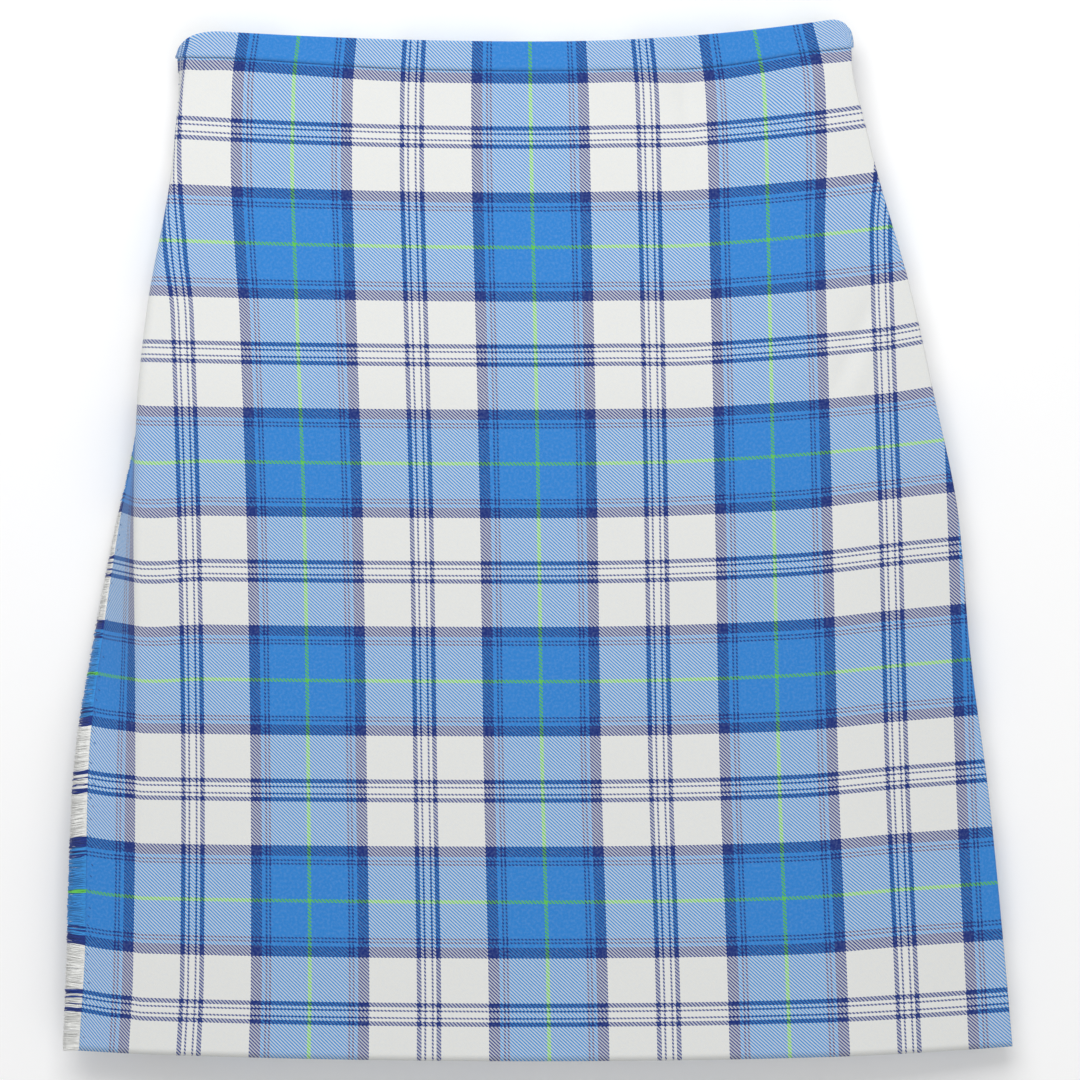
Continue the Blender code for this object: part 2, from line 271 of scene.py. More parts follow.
def half_sett(blue: int, white: int) -> tuple[Stripe, ...]:
    """Half a sett, from the green pivot to the white one, for the widths of its two wide stripes."""
    return (
        Stripe(Yarn.GREEN, 2),
        Stripe(Yarn.BLUE, blue),
        Stripe(Yarn.NAVY, 2),
        Stripe(Yarn.BLUE, 2),
        Stripe(Yarn.NAVY, 2),
        Stripe(Yarn.BLUE, 4),
        Stripe(Yarn.NAVY, 12),
        Stripe(Yarn.WHITE, white),
        Stripe(Yarn.NAVY, 5),
        Stripe(Yarn.WHITE, 3),
        Stripe(Yarn.NAVY, 2),
        Stripe(Yarn.WHITE, 3),
    )


WARP_STRIPES = half_sett(40, 51)
WEFT_STRIPES = half_sett(39, 50)
YARN_COLOURS: dict[Yarn, Colour] = {
    Yarn.GREEN: (0.15, 0.62, 0.10),
    Yarn.BLUE: (0.042, 0.293, 0.712),
    Yarn.NAVY: (0.011, 0.037, 0.246),
    Yarn.WHITE: (0.845, 0.850, 0.830),
}
WARP_HALF = sum(stripe.threads for stripe in WARP_STRIPES)
WEFT_HALF = sum(stripe.threads for stripe in WEFT_STRIPES)
SETT_U = 2 * WARP_HALF * WARP_PITCH
SETT_V = 2 * WEFT_HALF * WEFT_PITCH


def smooth_curve(knots: Sequence[float], values: Sequence[float], at: float) -> float:
    """A smooth curve through a table's column that never overshoots it.

    Args:
        knots: The table's rising positions.
        values: The column's values there.
        at: The position to read, past the ends on a straight line.

    Returns:
        The value at that position.
    """
    last = len(knots) - 1
    slopes = [(values[i + 1] - values[i]) / (knots[i + 1] - knots[i]) for i in range(last)]
    tangents = [slopes[0]]
    for before, after in zip(slopes, slopes[1:]):
        tangents.append(0.0 if before * after <= 0 else 2 * before * after / (before + after))
    tangents.append(slopes[-1])
    if at <= knots[0]:
        return values[0] + tangents[0] * (at - knots[0])
    if at >= knots[last]:
        return values[last] + tangents[last] * (at - knots[last])
    i = min(bisect_right(knots, at) - 1, last - 1)
    span = knots[i + 1] - knots[i]
    t = (at - knots[i]) / span
    lead = (1 + 2 * t) * (1 - t) ** 2 * values[i] + t * t * (3 - 2 * t) * values[i + 1]
    return lead + span * (t * (1 - t) ** 2 * tangents[i] - t * t * (1 - t) * tangents[i + 1])


def read_table(table: Sequence[object], y: float) -> list[float]:
    """A table's columns at a height, which its first column gives, smooth between its rows."""
    knots, *columns = zip(*(astuple(row) for row in table))
    return [smooth_curve(knots, column, y) for column in columns]


def station_at(y: float) -> Station:
    """The section at any height, level beyond the table's ends."""
    return Station(y, *read_table(STATIONS, min(max(y, STATIONS[0].y), STATIONS[-1].y)))


def bow(station: Station, x: float) -> float:
    """How far a bowed row has risen at x."""
    rise = station.bow_left if x < 0 else station.bow_right
    return rise * (x / BOW_SPAN) ** 2


def fade(value: float, start: float, end: float) -> float:
    """A smooth rise from 0 at start to 1 at end."""
    share = min(max((value - start) / (end - start), 0.0), 1.0)
    return share * share * (3 - 2 * share)


def hem_freedom(y: float) -> float:
    """How far the turned side's rows are free to climb: not at all at the level hem."""
    return fade(y, STATIONS[0].y, STATIONS[0].y + HEM_LEVEL)


def corner_drop(x: float) -> float:
    """How far the waist's top edge has dropped at x, round its two corners."""
    left = (LEFT_CORNER_START - x) / LEFT_CORNER_RUN
    right = (x - RIGHT_CORNER_START) / RIGHT_CORNER_RUN
    share = min(max(left, right, 0.0), 1.0)
    return CORNER_DEPTH * (1 - math.sqrt(1 - share * share))


@dataclass(frozen=True)
class Shift:
    """A soft-edged area of the front whose rows are shifted: how far, and where it fades in and out."""

    amount: float
    x_in: Point2
    y_in: Point2
    y_out: Point2
    x_out: Point2 = (400.0, 401.0)

    def at(self, y: float, x: float) -> float:
        """The shift at a place."""
        across = fade(x, *self.x_in) * (1 - fade(x, *self.x_out))
        return self.amount * across * fade(y, *self.y_in) * (1 - fade(y, *self.y_out))


NEAR_SEAM = (245.0, 272.0)
OVER_SEAM = (276.0, BAND_TOP)
SEAM_LIFTS = (
    Shift(2.3, (-70.0, -180.0), NEAR_SEAM, OVER_SEAM),
    Shift(-1.1, (-188.0, -206.0), NEAR_SEAM, OVER_SEAM),
    Shift(-2.7, (45.0, 90.0), NEAR_SEAM, OVER_SEAM, x_out=(102.0, 160.0)),
    Shift(-1.2, (160.0, 188.0), NEAR_SEAM, OVER_SEAM),
)
ROW_SAGS = (
    Shift(1.5, (40.0, 90.0), (20.0, 110.0), (248.0, 262.0), x_out=(205.0, 240.0)),
    Shift(-2.0, (150.0, 225.0), (-295.0, -240.0), (20.0, 60.0)),
    Shift(2.0, (-200.0, -232.0), (-125.0, -75.0), (30.0, 90.0)),
    Shift(1.2, (-240.0, -262.0), (-402.0, -401.0), (30.0, 90.0)),
)


def seam_lift(y: float, x: float) -> float:
    """How far the rows beside the seam have been drawn up on the left and down on the right."""
    return sum(shift.at(y, x) for shift in SEAM_LIFTS)


def row_sag(y: float, x: float) -> float:
    """How much lower than level the pattern's rows run at a place on the front, in millimetres."""
    return sum(shift.at(y, x) for shift in ROW_SAGS)


def waist_y(y: float, x: float) -> float:
    """A row's height at x near the waist, with the band drawn down at the waist's two corners."""
    if y <= SEAM_LINE:
        return y + seam_lift(y, x)
    depth = BAND_TOP - SEAM_LINE
    return SEAM_LINE + (y - SEAM_LINE) * (1 - min(corner_drop(x) / depth, 0.9)) + seam_lift(y, x)


def shoulder(y: float) -> float:
    """How far the top of the fringed side has drawn in at a height."""
    return SHOULDER_DEPTH * fade(y, SHOULDER_START, SHOULDER_END) ** 1.5


def slanted(station: Station, point: Point2, share: float = 1.0) -> Point2:
    """A point of the fringed side, moved in as the side slants at the waist."""
    x, z = point
    rise = min(max((z - SHOULDER_FOOT) / (station.high - SHOULDER_FOOT), 0.0), 1.0)
    out = SHOULDER_BULGE * fade(station.y, BULGE_START, BULGE_END) * (1 - rise) ** 0.5
    return (x + (shoulder(station.y) * rise - out) * share, z)


def front_height(station: Station, x: float) -> float:
    """Middle of the front wall: level over the stack, falling towards the right fold."""
    share = min(max((station.right - x) / APRON_FALL, 0.0), 1.0)
    return station.edge_high + (station.high - station.edge_high) * math.sin(share * math.pi / 2)


def evenly(first: float, last: float, steps: int) -> list[float]:
    """Evenly spaced values, with both ends."""
    return [first + (last - first) * i / steps for i in range(steps + 1)]


def arc(centre: Point2, radius: float, start: float, end: float, steps: int = 6) -> list[Point2]:
    """Points along an arc in the section plane, with angles in degrees from +X towards +Z."""
    angles = [math.radians(angle) for angle in evenly(start, end, steps)]
    return [(centre[0] + radius * math.cos(a), centre[1] + radius * math.sin(a)) for a in angles]


def path_lengths(path: Sequence[Point2]) -> list[float]:
    """Length along a section path at each of its points."""
    lengths = [0.0]
    for a, b in zip(path, path[1:]):
        lengths.append(lengths[-1] + math.dist(a, b))
    return lengths


def offset_path(path: Sequence[Point2], distance: float) -> list[Point2]:
    """A section path moved to its left-hand side, with mitred corners."""
    moved = []
    for i, (x, z) in enumerate(path):
        before = path[max(i - 1, 0)]
        after = path[min(i + 1, len(path) - 1)]
        first = Vector((x - before[0], z - before[1])) if i > 0 else Vector((after[0] - x, after[1] - z))
        last = Vector((after[0] - x, after[1] - z)) if i < len(path) - 1 else first.copy()
        n1 = Vector((-first.y, first.x)).normalized()
        n2 = Vector((-last.y, last.x)).normalized()
        shift = (n1 + n2) * (distance / (1.0 + n1.dot(n2)))
        moved.append((x + shift.x, z + shift.y))
    return moved


def cloth_u(y: float, x: float) -> float:
    """The warp coordinate that the photographed green lines give a point on the front, in millimetres."""
    left, middle, right, left_stretch, right_stretch = read_table(GREEN_LINES, y)
    if x < left:
        return -SETT_U + SETT_U * (x - left) / ((middle - left) * left_stretch)
    if x < middle:
        return SETT_U * (x - middle) / (middle - left)
    if x < right:
        return SETT_U * (x - middle) / (right - middle)
    return SETT_U + SETT_U * (x - right) / ((right - middle) * right_stretch)


def cloth_v(y: float) -> float:
    """The weft coordinate at a height on the centre line, in millimetres."""
    return SETT_V * read_table(WEFT_MARKS, y)[0]


def in_part(point: Point3) -> Vector:
    """A table point in the part's own frame, in metres."""
    return Vector([(value - shift) * MM for value, shift in zip(point, ORIGIN)])


def finished_mesh(name: str, bm: bmesh.types.BMesh) -> Mesh:
    """A bmesh as a mesh; the bmesh is freed."""
    mesh = bpy.data.meshes.new(name)
    bm.to_mesh(mesh)
    bm.free()
    return mesh


def add_object(name: str, data: ID) -> Object:
    """A new object in the scene, at the origin."""
    made = bpy.data.objects.new(name, data)
    bpy.context.scene.collection.objects.link(made)
    return made


def new_piece(
    name: str, bm: bmesh.types.BMesh, material: Material
) -> Object:
    """Makes a finished bmesh a piece of the kilt.

    Args:
        name: The piece's name.
        bm: Its mesh, which is freed.
        material: Its material.

    Returns:
        The linked object, riding on the root body.
    """
    mesh = finished_mesh(name, bm)
    mesh.shade_smooth()
    mesh.materials.append(material)
    piece = add_object(name, mesh)
    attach(piece, "root")
    LOG.info("%s: %d faces", name, len(mesh.polygons))
    return piece


def cloth_grid(columns: int, rows: int, place: Placer) -> bmesh.types.BMesh:
    """A sheet of cloth: a grid whose points are set in place, with cloth coordinates as its UV map.

    Args:
        columns: Points across the cloth.
        rows: Points along it.
        place: Gives each (column, row) its point in the tables' frame and its cloth coordinates, both in
            millimetres.

    Returns:
        The sheet, not yet thickened.
    """
    bm = bmesh.new()
    bmesh.ops.create_grid(bm, x_segments=columns - 1, y_segments=rows - 1, size=0.5)
    bm.verts.ensure_lookup_table()
    ordered = sorted(bm.verts, key=lambda vert: (round(vert.co.y, 5), round(vert.co.x, 5)))
    cloth: dict[int, Point2] = {}
    for index, vert in enumerate(ordered):
        row, column = divmod(index, columns)
        point, uv = place(column, row)
        vert.co = in_part(point)
        cloth[vert.index] = uv
    layer = bm.loops.layers.uv.new("cloth")
    for face in bm.faces:
        for loop in face.loops:
            u, v = cloth[loop.vert.index]
            loop[layer].uv = (u * MM, v * MM)
    return bm


def sheet_piece(
    name: str, size: tuple[int, int], place: Placer, material: Material,
    thickness: float = CLOTH,
) -> Object:
    """A sheet with a wall, half to each side, as a piece of the kilt.

    Args:
        name: The piece's name.
        size: Its points across and along.
        place: As for cloth_grid.
        material: Its material.
        thickness: Its wall, in millimetres.

    Returns:
        The linked object, riding on the root body.
    """
    piece = new_piece(name, cloth_grid(*size, place), material)
    wall = piece.modifiers.new("Wall", "SOLIDIFY")
    wall.thickness = thickness * MM
    wall.offset = 0.0
    wall.use_even_offset = True
    return piece


class NodeChain:
    """Adds and joins shader nodes in one tree, from left to right."""

    def __init__(self, tree: NodeTree) -> None:
        """Keeps the tree."""
        self.tree = tree

    def feed(self, value: object, socket: NodeSocket) -> None:
        """Links a socket or sets a constant."""
        if isinstance(value, NodeSocket):
            self.tree.links.new(value, socket)
        else:
            socket.default_value = value

    def set(self, node: Node, inputs: dict[str, object]) -> None:
        """Feeds a node's inputs by name."""
        for name, value in inputs.items():
            self.feed(value, node.inputs[name])

    def add(
        self, kind: str, inputs: dict[str, object] | None = None, **settings: object
    ) -> Node:
        """Adds a node, sets its properties and feeds its inputs."""
        node = self.tree.nodes.new(kind)
        for name, value in settings.items():
            setattr(node, name, value)
        self.set(node, inputs or {})
        return node

    def math(self, operation: str, a: object, b: object = 0.0, c: object = 0.0) -> NodeSocket:
        """The output of one Math node, whose values are sockets or numbers."""
        node = self.add("ShaderNodeMath", operation=operation)
        for value, socket in zip((a, b, c), node.inputs):
            self.feed(value, socket)
        return node.outputs[0]

    def mix(self, share: object, a: object, b: object, blend: str = "MIX") -> NodeSocket:
        """Mixes two colours by a share."""
        inputs = {"Factor": share, "A": a, "B": b}
        return self.add("ShaderNodeMix", inputs, data_type="RGBA", blend_type=blend).outputs["Result"]

    def shaded(self, colour: NodeSocket, shade: NodeSocket) -> NodeSocket:
        """A colour times a grey."""
        grey = self.add("ShaderNodeCombineColor", {"Red": shade, "Green": shade, "Blue": shade})
        return self.mix(1.0, colour, grey.outputs[0], "MULTIPLY")

    def place(self) -> NodeSocket:
        """Each point's place on its object."""
        return self.add("ShaderNodeTexCoord").outputs["Object"]

    def relief(
        self, shader: Node, height: NodeSocket, strength: float, depth: float
    ) -> None:
        """Gives a shader a relief from a height, as deep as this in millimetres."""
        bump = self.add("ShaderNodeBump", {"Strength": strength, "Distance": depth * MM, "Height": height})
        self.set(shader, {"Normal": bump.outputs["Normal"]})


def new_material(name: str) -> tuple[Material, NodeChain, Node]:
    """A material, the chain that builds its nodes, and its shader."""
    made = bpy.data.materials.new(name)
    made.use_nodes = True
    return made, NodeChain(made.node_tree), made.node_tree.nodes["Principled BSDF"]


def group_output(tree: NodeTree, sockets: dict[str, str]) -> Node:
    """Declares a group's output sockets and adds its output node."""
    for name, kind in sockets.items():
        tree.interface.new_socket(name=name, in_out="OUTPUT", socket_type=kind)
    return tree.nodes.new("NodeGroupOutput")


def stripe_ramp(chain: NodeChain, thread: object, stripes: Sequence[Stripe]) -> NodeSocket:
    """The colour of a thread, counted from the green pivot and mirrored at both pivots.

    Args:
        chain: The tree to build in.
        thread: The thread's number, at its middle.
        stripes: Half a sett.

    Returns:
        The colour socket.
    """
    half = sum(stripe.threads for stripe in stripes)
    folded = chain.math("PINGPONG", thread, float(half))
    share = chain.math("DIVIDE", folded, float(half))
    node = chain.add("ShaderNodeValToRGB", {"Fac": share})
    node.color_ramp.interpolation = "CONSTANT"
    marks = node.color_ramp.elements
    while len(marks) > 1:
        marks.remove(marks[-1])
    start = 0
    for number, stripe in enumerate(stripes):
        mark = marks[0] if number == 0 else marks.new(start / half)
        mark.position = start / half
        mark.color = (*YARN_COLOURS[stripe.yarn], 1.0)
        start += stripe.threads
    return node.outputs["Color"]


def tartan_group() -> NodeTree:
    """The woven tartan: two sets of stripes crossed in a two-and-two twill.

    Returns:
        A group with a Colour and a Height, both read from the cloth coordinates.
    """
    tree = bpy.data.node_groups.new("twill tartan", "ShaderNodeTree")
    output = group_output(tree, {"Colour": "NodeSocketColor", "Height": "NodeSocketFloat"})
    chain = NodeChain(tree)
    uv = chain.add("ShaderNodeUVMap", uv_map="cloth")
    split = chain.add("ShaderNodeSeparateXYZ", {"Vector": uv.outputs["UV"]})
    across = chain.math("DIVIDE", split.outputs["X"], WARP_PITCH * MM)
    along = chain.math("DIVIDE", split.outputs["Y"], WEFT_PITCH * MM)
    warp = chain.math("FLOOR", across)
    weft = chain.math("FLOOR", along)
    warp_colour = stripe_ramp(chain, chain.math("ADD", warp, 0.5), WARP_STRIPES)
    weft_colour = stripe_ramp(chain, chain.math("ADD", weft, 0.5), WEFT_STRIPES)
    # A warp thread floats over two wefts, and each neighbour starts one weft lower.
    step = chain.math("FLOORED_MODULO", chain.math("ADD", warp, weft), 4.0)
    warp_up = chain.math("LESS_THAN", step, 2.0)
    on_top = chain.mix(warp_up, weft_colour, warp_colour)
    below = chain.mix(warp_up, warp_colour, weft_colour)
    # Part of the light that a thread gives back has passed through its neighbours.
    passed = chain.mix(1.0, on_top, below, "MULTIPLY")
    colour = chain.mix(NEIGHBOUR_SHARE, on_top, passed)
    # Each float is rounded across its thread, and its colour is painted darker towards its edges as painted
    # shade; the same height also gives the relief.
    warp_side = chain.math("SINE", chain.math("MULTIPLY", chain.math("FRACT", across), math.pi))
    weft_side = chain.math("SINE", chain.math("MULTIPLY", chain.math("FRACT", along), math.pi))
    lifted = chain.math("MULTIPLY", warp_side, warp_up)
    sunk = chain.math("MULTIPLY", weft_side, chain.math("SUBTRACT", 1.0, warp_up))
    height = chain.math("ADD", lifted, sunk)
    # Painted shade: the colour is dimmed where the thread dips and brightened over its top.
    shade = chain.math("MULTIPLY_ADD", height, FLOAT_TOP_LIGHT, FLOAT_SHADE)
    shaded = chain.shaded(colour, shade)
    # Loose fibres on the surface catch the light in small uneven patches.
    nap = chain.add("ShaderNodeTexNoise", {"Scale": NAP_SCALE, "Detail": 4.0, "Vector": uv.outputs["UV"]})
    patch = chain.math("MAXIMUM", chain.math("SUBTRACT", nap.outputs["Fac"], NAP_START), 0.0)
    napped = chain.mix(chain.math("MULTIPLY", patch, NAP_WEIGHT), shaded, (*NAP_COLOUR, 1.0))
    chain.set(output, {"Colour": napped, "Height": height})
    return tree


def yarn_group() -> NodeTree:
    """Loose weft yarn: the weft's stripes along the edge, a little uneven from strand to strand."""
    tree = bpy.data.node_groups.new("loose weft", "ShaderNodeTree")
    output = group_output(tree, {"Colour": "NodeSocketColor"})
    chain = NodeChain(tree)
    uv = chain.add("ShaderNodeUVMap", uv_map="cloth")
    split = chain.add("ShaderNodeSeparateXYZ", {"Vector": uv.outputs["UV"]})
    weft = chain.math("FLOOR", chain.math("DIVIDE", split.outputs["Y"], WEFT_PITCH * MM))
    colour = stripe_ramp(chain, chain.math("ADD", weft, 0.5), WEFT_STRIPES)
    noise = chain.add("ShaderNodeTexWhiteNoise", {"W": weft}, noise_dimensions="1D")
    shade = chain.math("MULTIPLY_ADD", noise.outputs["Value"], 0.24, 0.88)
    chain.set(output, {"Colour": chain.shaded(colour, shade)})
    return tree


@dataclass(frozen=True)
class ClothFinish:
    """A woven or loose yarn finish."""

    name: str
    roughness: float = 0.86
    sheen: float = 0.12
    weave_relief: float = 0.10

    def material(self, group: NodeTree) -> Material:
        """The material, with the group's colour and, where it has one, its height as relief."""
        made, chain, shader = new_material(self.name)
        woven = chain.add("ShaderNodeGroup", node_tree=group)
        chain.set(shader, {
            "Base Color": woven.outputs["Colour"],
            "Roughness": self.roughness,
            "Sheen Weight": self.sheen,
            "Sheen Roughness": 0.5,
            "Specular IOR Level": 0.25,
        })
        if "Height" in woven.outputs:
            chain.relief(shader, woven.outputs["Height"], 0.35, self.weave_relief)
        return made


@dataclass(frozen=True)
class ThreadFinish:
    """Plain sewing thread."""

    name: str
    colour: Colour

    def material(self) -> Material:
        """The material, with the thread's twist as fine bands, the darker bands being painted shade in the
        twist's grooves.
        """
        made, chain, shader = new_material(self.name)
        inputs = {"Scale": 900.0, "Vector": chain.place()}
        twist = chain.add("ShaderNodeTexWave", inputs, bands_direction="DIAGONAL")
        # Painted shade: the darker bands stand for the shade in the grooves of the twist.
        groove_shade = tuple(value * 0.6 for value in self.colour)
        colour = chain.mix(twist.outputs["Fac"], (*groove_shade, 1.0), (*self.colour, 1.0))
        chain.set(shader, {"Base Color": colour, "Roughness": 0.7})
        return made


@dataclass(frozen=True)
class LeatherFinish:
    """Grained leather."""

    name: str
    colour: Colour

    def material(self) -> Material:
        """The material, with pores and a little wear from cell and cloud noise."""
        made, chain, shader = new_material(self.name)
        pores = chain.add("ShaderNodeTexVoronoi", {"Scale": 1400.0, "Vector": chain.place()})
        cloud = chain.add("ShaderNodeTexNoise", {"Scale": 160.0, "Vector": chain.place()})
        worn = tuple(min(value * 2.4 + 0.01, 1.0) for value in self.colour)
        colour = chain.mix(cloud.outputs["Fac"], (*self.colour, 1.0), (*worn, 1.0))
        rough = chain.math("MULTIPLY_ADD", cloud.outputs["Fac"], 0.3, 0.32)
        chain.set(shader, {"Base Color": colour, "Roughness": rough})
        chain.relief(shader, pores.outputs["Distance"], 0.4, 0.15)
        return made


@dataclass(frozen=True)
class MetalFinish:
    """Polished plated wire."""

    name: str
    colour: Colour

    def material(self) -> Material:
        """The material, with faint handling marks in its roughness."""
        made, chain, shader = new_material(self.name)
        cloud = chain.add("ShaderNodeTexNoise", {"Scale": 700.0, "Vector": chain.place()})
        rough = chain.math("MULTIPLY_ADD", cloud.outputs["Fac"], 0.22, 0.10)
        chain.set(shader, {"Base Color": (*self.colour, 1.0), "Metallic": 1.0, "Roughness": rough})
        return made


@dataclass
class Panel:
    """A panel of cloth, laid through its sections from the hem to the waist."""

    tartan: Material
    name: str
    node: str
    row_steps: int
    hem_rise: float = 0.0

    def path(self, station: Station) -> list[Point2]:
        """The panel's section."""
        raise NotImplementedError

    def across(self, station: Station, path: Sequence[Point2]) -> list[float]:
        """The warp coordinate at each point of a section."""
        raise NotImplementedError

    def point(self, station: Station, place: Point2) -> Point3:
        """A section point on its bowed row."""
        x, z = place
        return (x, waist_y(station.y, x) + bow(station, x), z)

    def weft_at(self, station: Station, place: Point2) -> float:
        """The weft coordinate of a section point."""
        return cloth_v(station.y)

    def build(self) -> Object:
        """Builds the panel."""
        rows = []
        for y in evenly(STATIONS[0].y + self.hem_rise, STATIONS[-1].y, self.row_steps):
            station = station_at(y)
            path = self.path(station)
            rows.append((station, path, self.across(station, path)))

        def place(column: int, row: int) -> tuple[Point3, Point2]:
            """One grid point and its cloth coordinates."""
            station, path, across = rows[row]
            return self.point(station, path[column]), (across[column], self.weft_at(station, path[column]))

        piece = sheet_piece(self.name, (len(rows[0][1]), len(rows)), place, self.tartan)
        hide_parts(self.node)
        return piece


@dataclass
class OverApron(Panel):
    """The top front panel: its fringed side turned down, its other edge folded crisply under."""

    name: str = "over_apron_cloth"
    node: str = "over_apron"
    row_steps: int = 150
    straight_steps: int = 16
    fold_steps: int = 10
    top_steps: int = 132
    relief_start: float = 9.0
    relief_fade: float = 26.0
    relief_end: float = 3.0

    def side(self, station: Station) -> list[Point2]:
        """The section from the fringed edge to the top of the side fold."""
        middle = station.left + WALL / 2
        turn = math.radians(station.turn)
        centre = (middle + station.bend, station.high - station.bend)
        fold = arc(centre, station.bend, 90.0 + station.turn, 90.0, self.fold_steps)
        start = fold[0]
        length = station.strip - station.bend * turn
        straight = [
            (start[0] - math.cos(turn) * length * s, start[1] - math.sin(turn) * length * s)
            for s in evenly(1.0, 0.0, self.straight_steps)[:-1]
        ]
        return [slanted(station, point) for point in straight + fold]

    def path(self, station: Station) -> list[Point2]:
        """The whole section, from the fringed edge to the seam turned under on the right."""
        side = self.side(station)
        first = side[-1][0]
        last = station.right - WALL / 2 - PRESSED_RADIUS
        top = [(x, front_height(station, x)) for x in evenly(first, last, self.top_steps)[1:]]
        centre = (last, front_height(station, last) - PRESSED_RADIUS)
        fold = arc(centre, PRESSED_RADIUS, 90.0, -90.0)[1:]
        ends = [station.right - station.flap * share for share in (0.25, 0.5, 0.75, 1.0)]
        turned = [(x, front_height(station, x) - 2 * PRESSED_RADIUS) for x in ends]
        return side + top + fold + turned

    def first_top_index(self) -> int:
        """Index in the path of the top of the side fold."""
        return self.straight_steps + self.fold_steps

    def across(self, station: Station, path: Sequence[Point2]) -> list[float]:
        """The warp coordinate along the section: read from the green lines on top, then by length."""
        top = self.first_top_index()
        last = top + self.top_steps
        lengths = path_lengths(path)
        at_left = cloth_u(station.y, path[top][0])
        at_right = cloth_u(station.y, path[last][0])
        values = []
        for i, (x, _) in enumerate(path):
            if i < top:
                values.append(at_left + lengths[i] - lengths[top])
            elif i <= last:
                values.append(cloth_u(station.y, x))
            else:
                values.append(at_right + lengths[i] - lengths[last])
        return values

    def band_section(self, station: Station) -> Section:
        """The section that the band covers, with the warp coordinate of each of its points."""
        path = self.path(station)
        return path[:-4], self.across(station, path)[:-4]

    def climb(self, station: Station, place: Point2) -> float:
        """How far the loose side strip has climbed square to its own edge."""
        x, z = place
        fold_x = station.left + WALL / 2 + station.bend + shoulder(station.y)
        loose = min(max((SIDE_TIGHT - station.y) / (SIDE_TIGHT - SIDE_LOOSE), 0.0), 1.0)
        past = math.hypot(x - fold_x, z - station.high) if x < fold_x else 0.0
        return SIDE_RISE * past * loose

    def point(self, station: Station, place: Point2) -> Point3:
        """A section point on its bowed row."""
        x, z = place
        y = waist_y(station.y, x) + bow(station, x) + self.climb(station, place) * hem_freedom(station.y)
        return (x, y, z + self.relief(station, x, z))

    def weft_at(self, station: Station, place: Point2) -> float:
        """The weft coordinate of a section point, whose row may run off at the hem."""
        lost = self.climb(station, place) * (1 - hem_freedom(station.y))
        return cloth_v(station.y - lost + row_sag(station.y, place[0]))

    def relief(self, station: Station, x: float, z: float) -> float:
        """Soft unevenness of the laid cloth, in millimetres, fading out at its edges."""
        start = station.left + shoulder(station.y) + self.relief_start
        if z < front_height(station, x) - 0.5 or x < start:
            return 0.0
        right = fade(x, station.right - self.relief_fade, station.right - self.relief_end)
        inside = fade(x, start, start + self.relief_fade) * (1 - right)
        return sum(crease.depth_at(x, station.y) for crease in CREASES) * inside


@dataclass(frozen=True)
class Crease:
    """A soft trough or ridge: where it starts and ends, its half width and its depth, in millimetres."""

    start: Point2
    end: Point2
    width: float
    depth: float

    def depth_at(self, x: float, y: float) -> float:
        """Its share of the relief at a point, fading along its length and to both sides."""
        run = Vector(self.end) - Vector(self.start)
        here = Vector((x, y)) - Vector(self.start)
        along = here.dot(run) / run.length_squared
        if not -0.25 < along < 1.25:
            return 0.0
        aside = abs(run.x * here.y - run.y * here.x) / run.length
        taper = math.cos(min(max((abs(along - 0.5) - 0.25) / 0.5, 0.0), 1.0) * math.pi / 2)
        return self.depth * taper * math.exp(-((aside / self.width) ** 2))


CREASES = [
    Crease((86.0, 300.0), (90.0, 232.0), 4.5, -1.5),
    Crease((73.0, 300.0), (76.0, 268.0), 5.0, 0.7),
    Crease((-104.0, 298.0), (-101.0, 272.0), 6.0, -0.5),
    Crease((42.0, 300.0), (40.0, 276.0), 5.0, -0.5),
    Crease((-206.0, 281.0), (-201.0, 200.0), 9.0, 0.5),
    Crease((-186.0, 300.0), (-178.0, 215.0), 8.0, -0.5),
    Crease((-120.0, 290.0), (-124.0, 120.0), 16.0, 0.5),
    Crease((20.0, 280.0), (30.0, 60.0), 22.0, 0.6),
    Crease((150.0, 280.0), (185.0, 90.0), 18.0, 0.6),
    Crease((-60.0, 150.0), (-70.0, -120.0), 26.0, -0.6),
    Crease((110.0, 60.0), (130.0, -200.0), 28.0, 0.7),
    Crease((-180.0, 40.0), (-186.0, -230.0), 20.0, 0.6),
    Crease((40.0, -120.0), (44.0, -300.0), 24.0, -0.6),
    Crease((200.0, -100.0), (222.0, -290.0), 22.0, -0.6),
    Crease((178.0, 84.0), (198.0, 128.0), 6.0, -1.3),
    Crease((186.0, 80.0), (206.0, 124.0), 7.0, 0.8),
    Crease((-226.0, 60.0), (-228.0, -300.0), 10.0, -0.5),
]


